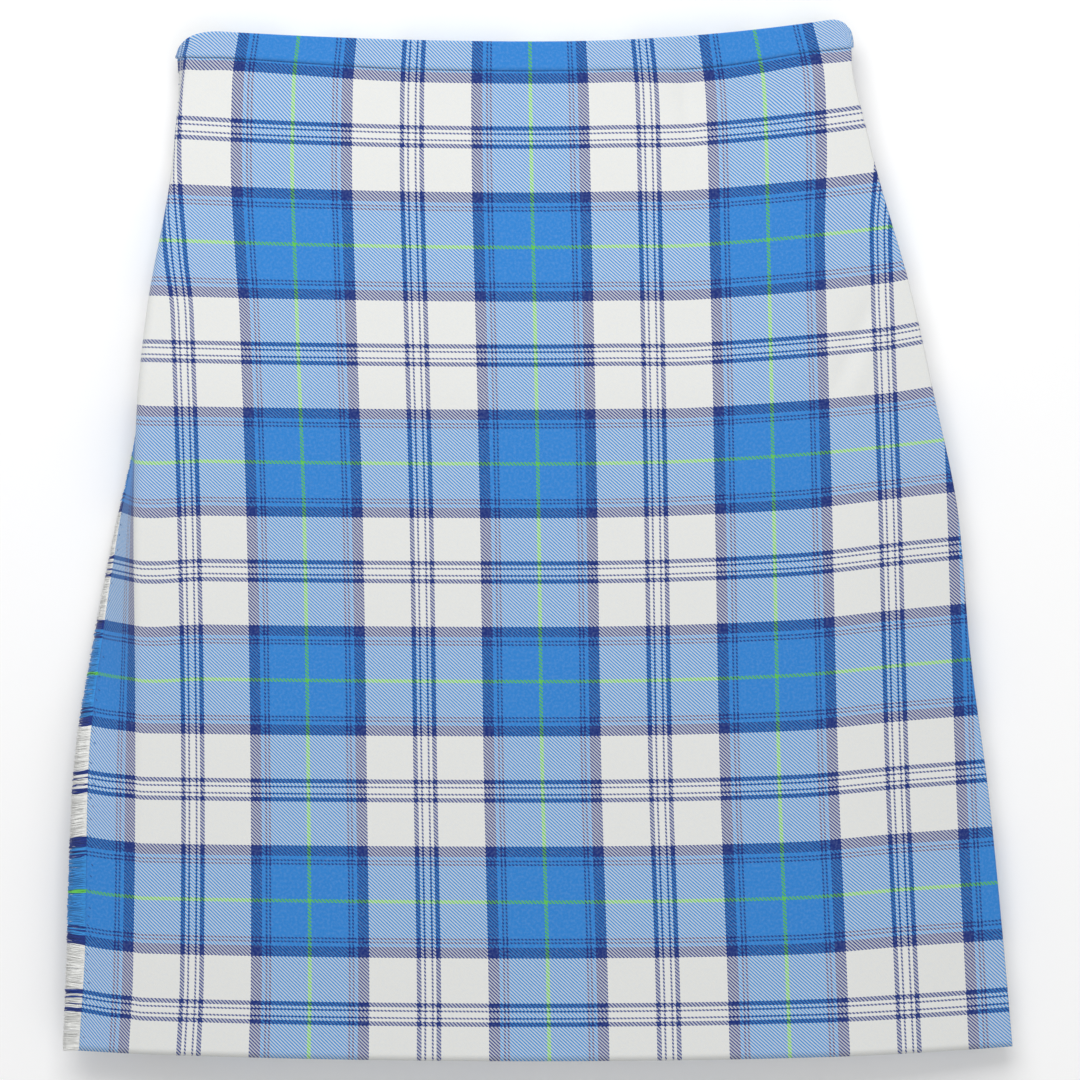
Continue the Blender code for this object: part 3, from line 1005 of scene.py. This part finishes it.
@dataclass
class Band:
    """A narrow pattern-matched band along the waist, rounded over the cloth's top edge."""

    tartan: Material
    name: str
    node: str
    section: Callable[[Station], Section]
    outward: float
    relief: Callable[[Station, float, float], float] = lambda station, x, z: 0.0
    face_rows: int = 12
    crown_rows: int = 6
    seam_tuck: float = 1.5

    def profile(self) -> list[tuple[float, float, float]]:
        """The band's rows from its sewn edge up: distance out from the cloth, height and cloth length."""
        top = BAND_TOP - BAND_CROWN
        low = SEAM_LINE + self.seam_tuck
        rows = [(0.25, SEAM_LINE), (0.7, SEAM_LINE + self.seam_tuck * 0.4)]
        rows += [(1.0, y) for y in evenly(low, top, self.face_rows)]
        for angle in evenly(0.0, math.pi / 2, self.crown_rows)[1:]:
            rows.append((math.cos(angle) * 1.25 - 0.25, top + BAND_CROWN * math.sin(angle)))
        lengths = path_lengths([(out * abs(self.outward), y) for out, y in rows])
        return [(out, y, length) for (out, y), length in zip(rows, lengths)]

    def build(self) -> Object:
        """Builds the band."""
        profile = self.profile()
        waist = STATIONS[-1]
        sections = [self.section(station_at(y)) for _, y, _ in profile]
        faces = [offset_path(section[0], self.outward * row[0]) for section, row in zip(sections, profile)]

        def place(column: int, row: int) -> tuple[Point3, Point2]:
            """One grid point and its cloth coordinates."""
            _, y, length = profile[row]
            x, z = faces[row][column]
            uv = (sections[row][1][column], FIRST_SEAM + SETT_V + length)
            return (x, waist_y(y, x) + bow(waist, x), z + self.relief(station_at(y), x, z)), uv

        piece = sheet_piece(self.name, (len(faces[0]), len(profile)), place, self.tartan)
        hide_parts(self.node)
        return piece


@dataclass
class BackBand:
    """The back's band: a strip under the pleats, with a crown that closes their upper ends."""

    tartan: Material
    columns: int = 160
    face_rows: int = 8
    crown_depth: float = 16.0
    name: str = "back_band_cloth"

    def build(self) -> Object:
        """Builds the band."""
        waist = STATIONS[-1]
        left = waist.left + WALL / 2 + waist.side_step + LAST_REVEAL
        right = waist.right - WALL / 2 - waist.inset
        level = waist.base + WALL / 2 - BAND_STEP
        top = BAND_TOP - BAND_CROWN
        profile = [(y, 0.0) for y in evenly(SEAM_LINE, top, self.face_rows)]
        profile += [(top + BAND_CROWN * 0.7, 0.02), (BAND_TOP, 0.05), (BAND_TOP, 0.5), (BAND_TOP, 1.0)]
        lengths = path_lengths([(y, share * self.crown_depth) for y, share in profile])

        def place(column: int, row: int) -> tuple[Point3, Point2]:
            """One grid point and its cloth coordinates."""
            y, share = profile[row]
            x = left + (right - left) * column / (self.columns - 1)
            end = front_height(waist, x) - ROOF_DROP + BAND_STEP
            z = level + (end - level) * share
            return (x, waist_y(y, x) + bow(waist, x), z), (x - left, FIRST_SEAM + SETT_V + lengths[row])

        piece = sheet_piece(self.name, (self.columns, len(profile)), place, self.tartan)
        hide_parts("back_band")
        return piece


@dataclass
class UnderApron(Panel):
    """The inner front panel, from its seam on the underside round the side and over the pleats."""

    name: str = "under_apron_cloth"
    node: str = "under_apron"
    row_steps: int = 60
    hem_rise: float = 1.5
    top_steps: int = 60
    start_u: float = 3420.0
    floor_bend: float = 3.0
    least_bend: float = 2.5
    slant_share: float = 0.8

    def path(self, station: Station) -> list[Point2]:
        """The section, from the seam under the kilt to the free edge."""
        side = station.left + WALL / 2 + station.side_step
        floor = station.base + WALL / 2
        roof = station.high - station.top_step
        lower = self.floor_bend
        upper = max(self.least_bend, station.bend - station.side_step)
        seam = [(side + LAST_REVEAL - SEAM_GAP, floor), (side + lower + 4.0, floor)]
        corner = arc((side + lower, floor + lower), lower, 270.0, 180.0)
        fold = arc((side + upper, roof - upper), upper, 180.0, 90.0)
        first = side + upper + shoulder(station.y) * self.slant_share
        last = station.right - station.free
        columns = evenly(first, last, self.top_steps)[1:]
        top = [(x, front_height(station, x) - station.top_step) for x in columns]
        side_wall = [slanted(station, point, self.slant_share) for point in corner + fold]
        return seam + side_wall + top

    def across(self, station: Station, path: Sequence[Point2]) -> list[float]:
        """The warp coordinate by length from the seam, where the back's cloth has come to start_u."""
        return [self.start_u + length for length in path_lengths(path)]

    def band_section(self, station: Station) -> Section:
        """The section that the band covers, with the warp coordinate of each of its points."""
        path = self.path(station)
        return path, self.across(station, path)


@dataclass
class PleatedBack(Panel):
    """The back: a wide right panel, then knife pleats, each taking up one sett of cloth."""

    name: str = "pleated_back_cloth"
    node: str = "pleated_back"
    row_steps: int = 44
    hem_rise: float = 2.5
    fold_steps: int = 4
    wall_bend: float = 2.5
    turn_inset: float = 1.5

    def path(self, station: Station) -> list[Point2]:
        """The section, from the seam under the right fold to the seam with the under apron."""
        floor = station.base + WALL / 2
        wall_x = station.right - WALL / 2 - station.inset
        start = station.right - station.flap - 2 * SEAM_GAP
        level = 2 * PRESSED_RADIUS
        path = [(start, front_height(station, start) - level)]
        turn_centre = (start - self.turn_inset, front_height(station, start) - level - LAYER_STEP / 2)
        path += arc(turn_centre, LAYER_STEP / 2, 90.0, 270.0)
        radius = self.wall_bend
        back_level = front_height(station, wall_x) - level - LAYER_STEP
        middle = (start + wall_x) / 2
        path.append((middle, front_height(station, middle) - level - LAYER_STEP))
        path += arc((wall_x - radius, back_level - radius), radius, 90.0, 0.0)
        path += arc((wall_x - radius, floor + radius), radius, 0.0, -90.0)
        first = station.right - station.panel
        last = station.left + WALL / 2 + station.side_step + LAST_REVEAL + PLEAT_CLIMB
        reveal = (first - last) / (PLEAT_COUNT - 1)
        for i in range(PLEAT_COUNT):
            outer = first - reveal * i
            rise = front_height(station, outer + station.tuck) - ROOF_DROP - floor - 2 * PLEAT_RADIUS
            inner = outer + math.sqrt(station.tuck**2 - rise**2)
            height = front_height(station, inner) - ROOF_DROP
            path += arc((outer, floor + PLEAT_RADIUS), PLEAT_RADIUS, 270.0, 90.0, self.fold_steps)
            path += arc((inner, height), PLEAT_RADIUS, -90.0, 90.0, self.fold_steps)
            path.append((outer, floor + PLEAT_STEP_OVER))
            path.append((outer - PLEAT_CLIMB, floor))
        path[-1] = (last - PLEAT_CLIMB + SEAM_GAP, floor)
        return path

    def across(self, station: Station, path: Sequence[Point2]) -> list[float]:
        """The warp coordinate, by length along the hem's own section."""
        return path_lengths(self.path(station_at(STATIONS[0].y + self.hem_rise)))


@dataclass(frozen=True)
class LeanMark:
    """How far the fringe leans up the edge at a height, in degrees."""

    y: float
    degrees: float


LEAN_MARKS = [
    LeanMark(-311.0, -3.0),
    LeanMark(-269.0, 4.0),
    LeanMark(-242.0, 7.0),
    LeanMark(-209.0, -7.0),
    LeanMark(-130.0, -9.0),
    LeanMark(-95.0, -6.0),
    LeanMark(-40.0, -3.0),
    LeanMark(10.0, -6.0),
    LeanMark(100.0, -4.0),
    LeanMark(280.0, -4.0),
]


@dataclass
class Fringe:
    """The frayed edge: loose weft yarns laid close, leaning in clumps and each a little its own way."""

    yarn: Material
    apron: OverApron
    layers: int = 3
    layer_rise: float = 0.45
    strand_width: float = 0.36
    strand_depth: float = 0.16
    overlap: float = 0.8
    turn_spread: float = 2.0
    lean_spread: float = 2.2
    bow_along: float = 0.35
    bow_off: float = 0.25
    whole_share: float = 0.85
    whole: Point2 = (0.94, 1.02)
    broken: Point2 = (0.78, 0.94)
    seed: int = 7
    name: str = "fringe_yarn"

    def template(self) -> Mesh:
        """One four-sided strand, a unit long, cut by two rings so that it can bend."""
        bm = bmesh.new()
        bmesh.ops.create_cone(
            bm, cap_ends=True, segments=4, radius1=1.0, radius2=0.7, depth=1.0,
            matrix=Matrix.Translation((0.0, 0.0, 0.5)),
        )
        for height in (0.33, 0.66):
            geometry = bm.verts[:] + bm.edges[:] + bm.faces[:]
            bmesh.ops.bisect_plane(bm, geom=geometry, plane_co=(0, 0, height), plane_no=(0, 0, 1))
        return finished_mesh("strand_template", bm)

    def clump_lean(self, y: float) -> float:
        """How far the strands of a clump lean up the edge, in degrees."""
        lean = read_table(LEAN_MARKS, y)[0]
        return lean + 2.5 * math.sin(y / 3.1) * math.sin(y / 7.7 + 1.0) + 1.2 * math.sin(y / 1.3)

    def build(self) -> Object:
        """Builds every strand into one mesh."""
        rng = random.Random(self.seed)
        template = self.template()
        bm = bmesh.new()
        uv = bm.loops.layers.uv.new("cloth")
        low, high = STATIONS[0].y + 0.3, SEAM_LINE - 1.0
        count = int((high - low) / WEFT_PITCH * self.layers)
        for index in range(count):
            y = low + (high - low) * (index + 0.5) / count
            station = station_at(y)
            edge = self.apron.side(station)[0]
            root = Vector(self.apron.point(station, edge))
            lift = (index % self.layers - (self.layers - 1) / 2) * CLOTH * self.layer_rise + 0.1
            turn = math.radians(station.turn + rng.gauss(0.0, self.turn_spread))
            lean = math.radians(self.clump_lean(y) + rng.gauss(0.0, self.lean_spread))
            out = math.cos(lean)
            way = Vector((-math.cos(turn) * out, math.sin(lean), -math.sin(turn) * out))
            level = Vector((-math.sin(turn), 0.0, math.cos(turn)))
            shares = self.whole if rng.random() < self.whole_share else self.broken
            length = station.frayed * rng.uniform(*shares)
            bend = Vector((0.0, rng.gauss(0.0, self.bow_along), 0.0))
            bend += level * rng.gauss(0.0, self.bow_off)
            start = root - way * self.overlap + level * lift
            v = self.apron.weft_at(station, edge)
            self.add_strand(bm, uv, template, start, way, level, length + self.overlap, bend, v)
        bpy.data.meshes.remove(template)
        piece = new_piece(self.name, bm, self.yarn)
        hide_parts("fringe")
        return piece

    def add_strand(
        self, bm: bmesh.types.BMesh, uv: bmesh.types.BMLayerItem, template: Mesh,
        root: Vector, way: Vector, level: Vector, length: float, bend: Vector, v: float,
    ) -> None:
        """Adds one strand.

        Args:
            bm: The mesh to add to.
            uv: Its cloth coordinates.
            template: The unit strand.
            root: Where it leaves the cloth, in millimetres.
            way: Its direction.
            level: The direction square to the cloth, in which it is flattened.
            length: Its length.
            bend: How far its middle bows aside.
            v: The weft coordinate that gives its colour.
        """
        start_vert, start_face = len(bm.verts), len(bm.faces)
        bm.from_mesh(template)
        bm.verts.ensure_lookup_table()
        bm.faces.ensure_lookup_table()
        aside = way.cross(level).normalized() * self.strand_width
        thick = level * self.strand_depth
        for vert in bm.verts[start_vert:]:
            across = aside * vert.co.x + thick * vert.co.y
            share = vert.co.z
            place = root + across + way * (length * share) + bend * math.sin(share * math.pi)
            place.z = max(place.z, 0.3)
            vert.co = in_part(tuple(place))
        for face in bm.faces[start_face:]:
            for loop in face.loops:
                loop[uv].uv = (0.0, v * MM)


@dataclass
class Stitches:
    """A run of hand stitches half sunk in the cloth."""

    thread: Material
    name: str
    length: float
    radius: float
    seed: int = 3
    places: list[tuple[Vector, Vector]] = field(default_factory=list)

    def add(self, centre: Vector, way: Vector) -> None:
        """Adds a stitch at a place, in millimetres, along a direction."""
        self.places.append((centre, way.normalized()))

    def build(self) -> Object:
        """Builds all the stitches into one mesh."""
        bm = bmesh.new()
        for centre, way in self.places:
            turned = way.to_track_quat("Z", "Y").to_matrix().to_4x4()
            scale = Matrix.Diagonal((self.radius * MM, self.radius * MM, self.length / 2 * MM, 1.0))
            matrix = Matrix.Translation(in_part(tuple(centre))) @ turned @ scale
            bmesh.ops.create_icosphere(bm, subdivisions=1, radius=1.0, matrix=matrix)
        return new_piece(self.name, bm, self.thread)


@dataclass(frozen=True)
class Lamp:
    """A square soft light: its place and size in metres and its power in watts."""

    name: str
    place: Point3
    size: float
    power: float


LAMPS = (
    Lamp("key", (-0.25, 1.25, 1.5), 1.5, 26.8),
    Lamp("fill", (0.5, -0.9, 2.2), 2.6, 16.5),
)


@dataclass
class Studio:
    """A plain pale floor, soft light and a camera straight above."""

    floor_colour: Colour = (0.97, 0.97, 0.97)
    floor_half: float = 6.0
    sky: float = 0.40

    def floor(self) -> None:
        """Builds the floor."""
        bm = bmesh.new()
        bmesh.ops.create_grid(bm, x_segments=1, y_segments=1, size=self.floor_half)
        made = add_object("studio_floor", finished_mesh("studio_floor", bm))
        pale, chain, shader = new_material("pale floor")
        chain.set(shader, {"Base Color": (*self.floor_colour, 1.0), "Roughness": 0.9})
        made.data.materials.append(pale)

    def light(self, lamp: Lamp) -> None:
        """Adds a lamp, aimed at the kilt's middle."""
        data = bpy.data.lights.new(lamp.name, "AREA")
        data.size = lamp.size
        data.energy = lamp.power
        made = add_object(lamp.name, data)
        made.location = lamp.place
        made.rotation_euler = (-Vector(lamp.place)).to_track_quat("-Z", "Y").to_euler()

    def camera(self) -> None:
        """Adds the camera, straight above the photograph's centre."""
        data = bpy.data.cameras.new("camera")
        data.sensor_width = SENSOR
        data.lens = SENSOR * (CAMERA_HEIGHT - FRONT_LEVEL * MM) / (FRAME_WIDTH * MM)
        camera = add_object("camera", data)
        centre = in_part((*FRAME_CENTRE, 0.0))
        camera.location = (centre.x, centre.y, CAMERA_HEIGHT)
        bpy.context.scene.camera = camera

    def build(self) -> None:
        """Builds the whole studio."""
        self.floor()
        for lamp in LAMPS:
            self.light(lamp)
        world = bpy.data.worlds.new("studio")
        world.use_nodes = True
        inputs = {"Color": (1.0, 1.0, 1.0, 1.0), "Strength": self.sky}
        NodeChain(world.node_tree).set(world.node_tree.nodes["Background"], inputs)
        bpy.context.scene.world = world
        bpy.context.scene.view_settings.view_transform = "Standard"
        self.camera()


def edge_stitching(apron: OverApron, thread: Material) -> Object:
    """The short slanting stitches that hold the frayed edge, scattered just inside its root."""
    rng = random.Random(11)
    stitches = Stitches(thread, "fringe_stitches", length=2.0, radius=0.22)
    y = STATIONS[0].y + 8.0
    while y < SEAM_LINE - 10.0:
        station = station_at(y)
        edge = apron.side(station)[0]
        turn = math.radians(station.turn)
        inset = rng.uniform(2.2, 4.6)
        out = Vector((-math.cos(turn), 0.0, -math.sin(turn)))
        up = Vector((-math.sin(turn), 0.0, math.cos(turn)))
        centre = Vector(apron.point(station, edge)) - out * inset + up * (CLOTH / 2 + 0.05)
        stitches.add(centre, out + Vector((0.0, 1.0 + rng.uniform(-0.3, 0.3), 0.0)))
        y += rng.uniform(5.0, 12.0)
    return stitches.build()


def seam_stitching(apron: OverApron, thread: Material) -> Object:
    """The row of small stitches along the band's lower edge, all the way across the front."""
    stitches = Stitches(thread, "band_stitches", length=1.5, radius=0.22)
    station = station_at(SEAM_LINE)
    path = offset_path(apron.path(station), BAND_STEP * 0.25 + CLOTH / 2)
    top = range(apron.first_top_index() - apron.fold_steps, apron.first_top_index() + apron.top_steps)
    spacing = 1.9
    travelled = 0.0
    for i in top:
        a, b = Vector(path[i]), Vector(path[i + 1])
        run = (b - a).length
        while travelled < run:
            x, z = a.lerp(b, travelled / run)
            slope = bow(station, x + 1.0) - bow(station, x)
            way = Vector(((b - a).x, slope * (b - a).x, (b - a).y))
            stitches.add(Vector((x, waist_y(SEAM_LINE - 0.2, x) + bow(station, x), z)), way)
            travelled += spacing
        travelled -= run
    return stitches.build()


@dataclass
class HipStrap:
    """A leather strap that leaves the layers at a hip, turns down and lies along the underside.

    side is 1 at the wearer's right hip and -1 at the left; top is where the strap leaves the layers.
    """

    leather: Material
    name: str
    node: str
    side: int
    top: float
    width: float = 13.0
    thickness: float = 1.6
    middle_y: float = 290.4
    level: float = 4.0
    bend: float = 3.0
    reach: float = 56.0
    point: float = 9.0
    tip_share: float = 0.16
    stitch_inset: float = 1.4
    stitch_step: float = 2.6
    steps: int = 30
    columns: int = 9

    def start_x(self) -> float:
        """Where the strap lies between the layers at the hip."""
        waist = STATIONS[-1]
        if self.side > 0:
            return waist.left + WALL + SEAM_GAP + self.thickness / 2
        return waist.right - waist.inset - WALL / 2 + BAND_STEP + WALL / 2 + SEAM_GAP + self.thickness / 2

    def path(self) -> list[Point2]:
        """The section, from between the layers to the strap's pointed end."""
        x = self.start_x()
        centre = (x + self.side * self.bend, self.level + self.bend)
        start, end = (180.0, 270.0) if self.side > 0 else (0.0, -90.0)
        down = [(x, z) for z in evenly(self.top, centre[1], 5)[:-1]]
        first = self.side * self.bend
        run = [
            (x + first + (self.side * self.reach - first) * i / self.steps, self.level)
            for i in range(1, self.steps + 1)
        ]
        return down + arc(centre, self.bend, start, end) + run

    def half_width(self, remaining: float) -> float:
        """Half the strap's width at a distance from its pointed end."""
        share = min(remaining / self.point, 1.0)
        return self.width / 2 * (self.tip_share + (1 - self.tip_share) * math.sin(share * math.pi / 2))

    def place(self, point: Point2, remaining: float, across: float) -> Point3:
        """A point of the strap, from -1 to 1 across its width, in the slant and bow of the waist."""
        x, z = point
        y = self.middle_y + across * self.half_width(remaining)
        if self.side > 0 and z > self.level + self.bend:
            x, z = slanted(station_at(y), (x, z), 0.97)
        return (x, waist_y(y, x) + bow(STATIONS[-1], x), z)

    def build(self) -> Object:
        """Builds the strap, with its cut edges softened."""
        path = self.path()
        lengths = path_lengths(path)

        def place(column: int, row: int) -> tuple[Point3, Point2]:
            """One grid point and its leather coordinates."""
            across = 2 * row / (self.columns - 1) - 1
            remaining = lengths[-1] - lengths[column]
            return self.place(path[column], remaining, across), (lengths[column], across * self.width / 2)

        size = (len(path), self.columns)
        piece = sheet_piece(self.name, size, place, self.leather, self.thickness)
        soften = piece.modifiers.new("soft edge", "BEVEL")
        soften.width = 0.35 * MM
        soften.segments = 2
        soften.limit_method = "ANGLE"
        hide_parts(self.node)
        return piece

    def add_stitching(self, stitches: Stitches) -> None:
        """Adds a row of stitches along both edges of the part that lies on the underside."""
        path = self.path()
        lengths = path_lengths(path)
        x_end = path[-1][0]
        travelled = 4.0
        while travelled < self.reach - self.point - 2.0:
            x = self.start_x() + self.side * (self.bend + travelled)
            for edge in (-1.0, 1.0):
                remaining = min(abs(x_end - x), lengths[-1])
                across = edge * (1.0 - self.stitch_inset / self.half_width(remaining))
                spot = Vector(self.place((x, self.level), remaining, across))
                spot.z -= self.thickness / 2 + 0.02
                stitches.add(spot, Vector((1.0, 0.0, 0.0)))
            travelled += self.stitch_step


def hip_finishes(
    leather: Material, metal: Material, thread: Material
) -> None:
    """Builds the straps and dresses the buckles that the frame already holds."""
    stitches = Stitches(thread, "strap_stitches", length=1.9, radius=0.22)
    for hip, side, top in (("right_hip", 1, 22.0), ("left_hip", -1, 18.5)):
        strap = HipStrap(leather, "strap_leather_" + hip, "strap_" + hip, side, top)
        strap.build()
        strap.add_stitching(stitches)
        nodes = (("buckle_tab_", leather), ("buckle_frame_", metal), ("buckle_prong_", metal))
        for node, finish in nodes:
            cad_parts[node + hip].data.materials.clear()
            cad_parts[node + hip].data.materials.append(finish)
    stitches.build()


def main() -> None:
    """Builds the kilt's pieces in order and reports each."""
    logging.basicConfig(level=logging.INFO, format="%(name)s: %(message)s")
    Studio().build()
    tartan = ClothFinish("tartan twill").material(tartan_group())
    yarn = ClothFinish("fringe yarn", sheen=0.2).material(yarn_group())
    navy_thread = ThreadFinish("navy thread", (0.03, 0.075, 0.28)).material()
    leather = LeatherFinish("black leather", (0.012, 0.012, 0.013)).material()
    metal = MetalFinish("plated wire", (0.78, 0.78, 0.80)).material()

    apron = OverApron(tartan)
    apron_piece = apron.build()
    over_band = Band(
        tartan, "over_band_cloth", "over_band", apron.band_section, BAND_STEP, apron.relief
    ).build()
    fringe = Fringe(yarn, apron).build()
    stitches = edge_stitching(apron, navy_thread)
    seam = seam_stitching(apron, navy_thread)

    under = UnderApron(tartan)
    under_piece = under.build()
    under_band = Band(tartan, "under_band_cloth", "under_band", under.band_section, BAND_STEP).build()
    back = PleatedBack(tartan).build()
    back_band = BackBand(tartan).build()
    black_thread = ThreadFinish("black thread", (0.045, 0.045, 0.05)).material()
    hip_finishes(leather, metal, black_thread)


if __name__ == "__main__":
    main()
